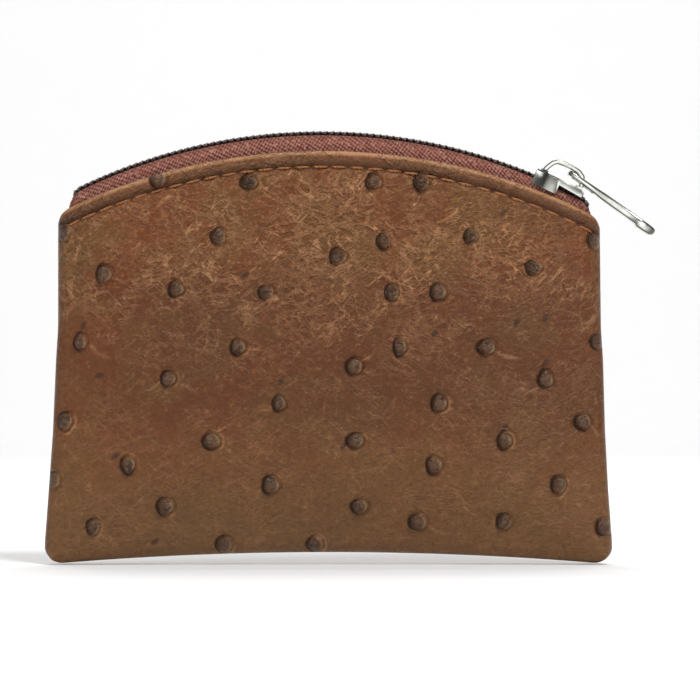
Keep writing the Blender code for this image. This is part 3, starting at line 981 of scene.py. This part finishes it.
def tapeMaterial():
    f = tapeFinish
    b = Bench("wovenTape", Roughness=0.85, Specular_IOR_Level=0.2)
    at, down = b.place(), b.read("tapeDown")
    wobble, wander = b.noise(at, 900.0), b.noise(at, 350.0)
    across = b.read("tapeAlong") * f["ribs"] + (wobble - 0.5) * 3.2
    drop = down * f["wefts"] + (wander - 0.5) * 2.6
    weave = b.reckon("SINE", across + drop * 0.7) * 0.6 + b.reckon("SINE", drop - across * 0.55) * 0.55
    knots = b.span(weave + (wobble - 0.5) * 1.2, -0.7, 0.75)
    dirt = b.noise(at, 260.0, 3.0, 0.6)
    speck = b.noise(at, 1700.0, 2.0, 0.6)
    color = b.coats(
        f["dark"],
        (knots, f["light"]),
        (b.span(dirt, 0.35, 0.7, 0.0, 0.45), f["dirt"]),
        (b.span(speck, 0.52, 0.72, 0.0, 0.55), f["speck"]),
        # Painted shade: dark specks where the gaps in the weave fall into shade.
        (b.span(speck, 0.46, 0.3, 0.0, 0.5), f["gap"]),
        (b.span(down, 3.4, 2.2, 0.0, 0.4), f["shade"]),
    )
    b.feed(Base_Color=color, Normal=b.bump(weave * 0.5 + speck * 0.6, 0.00016))
    return b.material


coilFinish = {"dark": tone(46, 31, 27), "worn": tone(92, 68, 60), "gloss": (0.24, 0.42)}


def coilMaterial():
    f = coilFinish
    b = Bench("nylonCoil", Specular_IOR_Level=0.6)
    worn = b.noise(b.place(), 1200.0)
    # Lighter patches on the dark nylon: partly wear, partly painted glints.
    color = b.mix(b.span(worn, 0.4, 0.7), f["dark"], f["worn"])
    b.feed(Base_Color=color, Roughness=b.span(worn, 0.3, 0.7, *f["gloss"]))
    return b.material


threadFinish = {
    "dark": tone(120, 70, 34),
    "light": tone(172, 108, 56),
    "worn": tone(136, 84, 46),
    "plies": 900.0,
}


def threadMaterial():
    f = threadFinish
    b = Bench("topThread", Roughness=0.6)
    at = b.place()
    fields = {"Vector": at, "Scale": f["plies"], "Distortion": 1.5, "Detail": 1.0}
    ply = b.add("ShaderNodeTexWave", {"bands_direction": "DIAGONAL"}, fields, "Fac")
    worn = b.span(b.noise(at, 300.0), 0.4, 0.65, 0.0, 0.5)
    color = b.coats(f["dark"], (ply, f["light"]), (worn, f["worn"]))
    b.feed(Base_Color=color, Normal=b.bump(ply, 0.00008))
    return b.material


liningFinish = {
    "dark": tone(58, 42, 34),
    "light": tone(86, 64, 52),
    "worn": tone(70, 50, 40),
    "threads": 560.0,
}


def liningMaterial():
    f = liningFinish
    b = Bench("liningCloth", Roughness=0.88)
    at = b.place()
    fields = {"Vector": at, "Scale": f["threads"]}
    warp, weft = [b.add("ShaderNodeTexWave", {"bands_direction": way}, fields, "Fac") for way in "XZ"]
    worn = b.span(b.noise(at, 120.0, 3.0), 0.4, 0.7, 0.0, 0.4)
    color = b.coats(f["dark"], (warp * weft, f["light"]), (worn, f["worn"]))
    b.feed(Base_Color=color, Normal=b.bump(warp * 0.5 + weft * 0.5, 0.00008))
    return b.material


nickelFinish = {
    "bright": tone(226, 226, 220),
    "cloudy": tone(206, 207, 200),
    "darkEdgeReflection": tone(66, 69, 60),
    "gloss": (0.16, 0.27),
}


def nickelMaterial():
    f = nickelFinish
    b = Bench("nickelPlate", Metallic=1.0)
    at = b.place()
    cloud = b.noise(at, 260.0, 3.0, 0.6)
    scratch = b.noise(b.turned(at, (0.0, 0.6, 0.0), (0.0025, 0.00033, 0.00033)), 1.0, 2.0, 0.6)
    # painted dark reflection along the rounded edges, read from edgeShade
    worn = b.read("edgeShade") * (0.55 + cloud * 0.7) * 0.95
    color = b.coats(f["bright"], (b.span(cloud, 0.35, 0.7), f["cloudy"]), (worn, f["darkEdgeReflection"]))
    rough = b.span(cloud, 0.3, 0.7, *f["gloss"]) + (scratch - 0.5) * 0.08
    b.feed(Base_Color=color, Roughness=rough, Normal=b.bump(scratch, 0.00002))
    return b.material


# The slider is made lying flat at the origin and then set on the zip.
slider = {
    "angle": 25.53,
    "back": -5.4,
    "front": 4.6,
    "half": 3.6,
    "under": 106.25,
    "over": 107.0,
    "flangeIn": 2.85,
    "flangeFoot": 103.9,
    "flangeFront": -0.4,
    "lowerHalf": 1.75,
    "lowerUnder": 103.3,
    "lowerOver": 104.0,
    "lipFoot": 105.75,
    "postHalf": 0.12,
    "feet": ((-4.0, 0.34), (3.25, 0.26)),
    "round": 0.2,
}


def block(name, low, high):
    # A box between two corners, in millimetres.
    bpy.ops.object.select_all(action="DESELECT")
    middle = [0.5 * (a + b) * mm for a, b in zip(low, high)]
    bpy.ops.mesh.primitive_cube_add(size=1.0, location=middle)
    piece = bpy.context.active_object
    piece.name = name
    piece.scale = [(b - a) * mm for a, b in zip(low, high)]
    bpy.ops.object.transform_apply(location=True, rotation=True, scale=True)
    return piece


def finishModifier(piece, kind, **settings):
    only(piece)
    modifier = piece.modifiers.new(kind.title(), kind)
    for key, value in settings.items():
        setattr(modifier, key, value)
    bpy.ops.object.modifier_apply(modifier=modifier.name)


def weld(piece, other, way="UNION"):
    finishModifier(piece, "BOOLEAN", object=other, operation=way, solver="EXACT")
    bpy.data.objects.remove(other)


def soften(piece, width, segments=3, angle=30):
    finishModifier(piece, "BEVEL", width=width * mm, segments=segments, limit_method="ANGLE",
                   angle_limit=math.radians(angle), harden_normals=False)
    only(piece)
    bpy.ops.object.shade_smooth_by_angle(angle=math.radians(35))


def reshape(piece, rule):
    # Moves every corner by a rule on its place in millimetres.
    for vertex in piece.data.vertices:
        vertex.co = Vector(rule(*(vertex.co / mm))) * mm


def cutAcross(piece, places):
    only(piece)
    mode("EDIT")
    for place in places:
        bpy.ops.mesh.select_all(action="SELECT")
        bpy.ops.mesh.bisect(plane_co=(place * mm, 0, 0), plane_no=(1, 0, 0))
    bpy.ops.mesh.select_all(action="DESELECT")
    mode("OBJECT")


def shadeEdges(piece):
    # Painted dark reflections: the plating is coloured darker where the rounded edges turn away from the
    # flat faces, standing in for the dark surroundings those edges reflect.
    mesh = piece.data
    mesh.update()
    turned = [1 - max(abs(part) for part in vertex.normal) for vertex in mesh.vertices]
    pointMap(piece, "edgeShade", smooth((np.array(turned) - 0.006) / 0.1))


def setOnZip(piece, mat, tilt=0.0, at=(0.0, 0.0)):
    # From slider space (x along the zip, z out from the arc's centre) to the frame.
    shadeEdges(piece)
    piece.data.materials.clear()
    piece.data.materials.append(mat)
    cx, cz, _ = outline["zipArc"]
    shift = Matrix.Translation(((cx + middleX) * mm, 0, cz * mm))
    spin = Matrix.Rotation(math.radians(slider["angle"]), 4, "Y")
    local = Matrix.Translation((at[0] * mm, 0, at[1] * mm)) @ Matrix.Rotation(tilt, 4, "Y")
    piece.data.transform(shift @ spin @ local)
    piece.data.update()
    print(piece.name, len(piece.data.polygons), "faces")
    return piece


def sliderPlan(x, y):
    # Drawn in toward the closed nose and again at the mouth.
    nose = max(-2.7 - x, 0) / 2.7
    mouth = max(x - 2.8, 0) / 1.8
    return y * (1 - 0.17 * nose - 0.12 * mouth)


def makeSlider(mat):
    c = slider
    under, over, foot = c["under"], c["over"], c["flangeFront"]
    body = block("slider", (c["back"], -c["half"], under), (c["front"], c["half"], over))
    cutAcross(body, [-4.4, -3.0, -1.0, 1.0, 2.6, 3.8])
    for low, high in ((-c["half"], -c["flangeIn"]), (c["flangeIn"], c["half"])):
        flange = block("flange", (c["back"], low, c["flangeFoot"]), (foot, high, under + 0.3))
        cutAcross(flange, [-4.4, -3.0, -1.2])
        weld(body, flange)
        lip = block("mouthLip", (foot - 0.2, low, c["lipFoot"]), (c["front"] - 0.25, high, under + 0.3))
        weld(body, lip)

    def bodyRule(x, y, z):
        droop = 0.1 * max(x - 2.5, 0) ** 2
        if z > under + 0.5:
            droop += 0.03 * max(abs(y) - 1.5, 0) ** 2
        return x, sliderPlan(x, y), z - droop

    reshape(body, bodyRule)
    half = c["lowerHalf"]
    lower = block("lowerBlade", (c["back"] + 0.2, -half, c["lowerUnder"]),
                  (c["front"] - 0.3, half, c["lowerOver"]))
    cutAcross(lower, [-3.0, 0.0, 2.5])
    reshape(lower, lambda x, y, z: (x, sliderPlan(x, y), z))
    half = c["postHalf"]
    weld(lower, block("post", (-1.0, -half, c["lowerOver"] - 0.3), (2.0, half, under + 0.3)))
    weld(body, lower)
    for place, height in c["feet"]:
        weld(body, block("foot", (place - 0.75, -1.5, over - 0.3), (place + 0.7, 1.5, over + height)))
    soften(body, c["round"], 3, 32)
    return setOnZip(body, mat)


bridge = {
    "half": 1.15,
    "thick": 0.9,
    "round": 0.27,
    "path": [
        (-4.15, 107.1), (-3.75, 108.2), (-3.2, 109.25), (-2.5, 109.8), (-1.2, 109.95),
        (0.6, 109.95), (2.0, 109.75), (2.95, 109.2), (3.45, 108.2), (3.5, 107.1),
    ],
}


def makeBridge(mat):
    # A flat strip whose front edge is extruded along the path, then given its thickness.
    path = bridge["path"]
    bpy.ops.object.select_all(action="DESELECT")
    bpy.ops.mesh.primitive_plane_add(size=1.0)
    strap = bpy.context.active_object
    strap.name = "sliderBridge"
    (ax, az), (bx, bz) = path[0], path[1]
    for vertex in strap.data.vertices:
        x, z = (ax, az) if vertex.co.x < 0 else (bx, bz)
        vertex.co = Vector((x, bridge["half"] * (1 if vertex.co.y > 0 else -1), z)) * mm
    mode("EDIT")
    bpy.ops.mesh.select_mode(type="EDGE")
    bpy.ops.mesh.select_all(action="DESELECT")
    mode("OBJECT")
    for edge in strap.data.edges:
        edge.select = all(abs(strap.data.vertices[i].co.x / mm - bx) < 1e-4 for i in edge.vertices)
    mode("EDIT")
    for (x0, z0), (x1, z1) in zip(path[1:-1], path[2:]):
        move = {"value": ((x1 - x0) * mm, 0, (z1 - z0) * mm)}
        bpy.ops.mesh.extrude_region_move(TRANSFORM_OT_translate=move)
    mode("OBJECT")
    finishModifier(strap, "SOLIDIFY", thickness=bridge["thick"] * mm, offset=0.0)
    faceOut(strap)
    soften(strap, bridge["round"], 4, 40)
    return setOnZip(strap, mat)


pull = {
    "lines": [-0.55, 0.5, 2.0, 4.0, 5.9, 7.4, 10.5, 13.0, 15.3, 15.9, 17.4, 18.6, 19.4],
    "halves": [2.3, 2.6, 2.6, 2.55, 2.4, 2.05, 1.95, 2.1, 2.35, 2.5, 2.5, 2.2, 1.5],
    "up": [0.5, 0.5, 0.5, 0.55, 0.6, 0.7, 0.73, 0.73, 0.73, 0.73, 0.72, 0.68, 0.5],
    "down": [0.5, 0.5, 0.5, 0.55, 0.6, 0.7, 0.73, 0.73, 0.73, 1.06, 1.04, 0.9, 0.5],
    "hole": (0.5, 5.6),
    "holeHalf": 1.55,
    "holeRound": 0.6,
    "round": 0.42,
    "holeEdge": 0.12,
    "pivot": (0.78, 108.8),
    "angle": -35.5,
}


def makePull(mat):
    c = pull
    bar = block("pullBar", (c["lines"][0], -1, -1), (c["lines"][-1], 1, 1))
    cutAcross(bar, c["lines"][1:-1])

    def barRule(x, y, z):
        half = float(np.interp(x, c["lines"], c["halves"]))
        thick = float(np.interp(x, c["lines"], c["up"] if z > 0 else c["down"]))
        return x, y * half, z * thick

    reshape(bar, barRule)
    hole = block("pullHole", (c["hole"][0], -c["holeHalf"], -3), (c["hole"][1], c["holeHalf"], 3))
    soften(hole, c["holeRound"], 4, 60)
    soften(bar, c["round"], 5, 40)  # before the hole, whose short edges would hold the rounding back
    weld(bar, hole, "DIFFERENCE")
    soften(bar, c["holeEdge"], 2, 60)
    return setOnZip(bar, mat, math.radians(-c["angle"] - slider["angle"]), c["pivot"])


leatherMat = leatherMaterial()
tapeMat = tapeMaterial()
coilMat = coilMaterial()
threadMat = threadMaterial()
liningMat = liningMaterial()
nickelMat = nickelMaterial()
print("finishes ready")

for label, side in (("front", -1), ("back", 1)):
    body = label + "_lip"
    made = [
        (makePanel(label + "Panel", side, leatherMat), "leather", ["leather", "leather_lip"]),
        (makeLining(label + "LiningCloth", side, liningMat), "lining", ["lining", "lining_lip"]),
        (makeTape(label + "ZipTape", side, tapeMat), "tape", ["tape", "tape_end_left", "tape_end_right"]),
        (makeCoil(label + "ZipCoil", side, coilMat), "coil", ["coil", "coil_end_left", "coil_end_right"]),
        (makeStitches(label + "Stitches", side, threadMat), "thread",
         ["topstitch", "topstitch_end_left", "topstitch_end_right"]),
    ]
    for piece, slot, nodes in made:
        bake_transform(piece)
        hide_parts(*[label + "_" + node for node in nodes])

for piece, body, node in (
    (makeSlider(nickelMat), "slider", "slider_body"),
    (makeBridge(nickelMat), "slider", "slider_bridge"),
    (makePull(nickelMat), "pull", "pull_tab"),
):
    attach(piece, body)
    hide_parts(node)

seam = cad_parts["side_seam_thread"]
seam.data.materials.clear()
seam.data.materials.append(threadMat)

stage = {
    "wide": 3.0,
    "near": -1.6,
    "deep": 1.2,
    "tall": 1.6,
    "curve": 0.35,
    "steps": 16,
    "white": 0.86,
}


def makeStage():
    bpy.ops.object.select_all(action="DESELECT")
    bpy.ops.mesh.primitive_plane_add(size=1.0)
    floor = bpy.context.active_object
    floor.name = "sweep"
    foot, curve = stage["deep"] - stage["curve"], stage["curve"]
    profile = [(stage["near"], 0.0), (foot, 0.0)]
    for k in range(1, stage["steps"] + 1):
        turn = math.pi / 2 * k / stage["steps"]
        profile.append((foot + curve * math.sin(turn), curve * (1 - math.cos(turn))))
    profile.append((stage["deep"], stage["tall"]))
    half = stage["wide"] / 2
    points = [(x, y, z) for y, z in profile for x in (-half, half)]
    faces = [(2 * k, 2 * k + 1, 2 * k + 3, 2 * k + 2) for k in range(len(profile) - 1)]
    floor.data.clear_geometry()
    floor.data.from_pydata(points, [], faces)
    floor.data.polygons.foreach_set("use_smooth", [True] * len(faces))
    b = Bench("paleSweep", Roughness=0.9)
    speck = b.noise(b.place(), 60.0)
    pale = stage["white"]
    shade = (pale * 0.985, pale * 0.985, pale * 0.98, 1)
    b.feed(Base_Color=b.mix(speck, (pale, pale, pale, 1), shade))
    floor.data.materials.append(b.material)


# Each light's name, place, aim, width and height, and power.
lamps = [
    ("keySoft", (0.26, -0.46, 0.72), (0.0, 0.0, 0.04), (0.26, 0.26), 5.6),
    ("frontCard", (0.08, -0.95, 0.14), (0.0, 0.0, 0.06), (0.5, 0.34), 0.75),
    ("leftSoft", (-0.6, -0.35, 0.4), (0.0, 0.0, 0.04), (0.25, 0.4), 1.2),
    ("topSoft", (0.0, 0.4, 0.75), (0.0, 0.05, 0.0), (0.5, 0.3), 2.5),
    ("backSoft", (0.0, 0.2, 0.9), (0.0, 1.2, 0.5), (1.4, 0.3), 9.5),
]


def addLight(name, place, target, size, power):
    data = bpy.data.lights.new(name, "AREA")
    data.shape = "RECTANGLE"
    data.size, data.size_y = size
    data.energy = power
    lamp = addObject(name, data)
    lamp.location = place
    lamp.rotation_euler = (Vector(target) - Vector(place)).to_track_quat("-Z", "Y").to_euler()


makeStage()
for lamp in lamps:
    addLight(*lamp)

scene.view_settings.view_transform = "Standard"
world = bpy.data.worlds.new("studioAir")
world.use_nodes = True
air = world.node_tree.nodes["Background"]
air.inputs["Color"].default_value = (1, 1, 1, 1)
air.inputs["Strength"].default_value = 0.2
scene.world = world
print("stage and lights ready")

# The field is the width in view at the pouch's middle, in millimetres.
view = {"sensor": 36.0, "field": 133.35, "away": 860.0, "right": 4.0, "up": 40.8}
cameraData = bpy.data.cameras.new("frontView")
cameraData.sensor_width = view["sensor"]
cameraData.lens = view["sensor"] * view["away"] / view["field"]
camera = addObject("frontView", cameraData)
camera.location = Vector((view["right"] + middleX, -view["away"], view["up"])) * mm
camera.rotation_euler = (math.pi / 2, 0, 0)
cameraData.clip_start = 0.01
scene.camera = camera
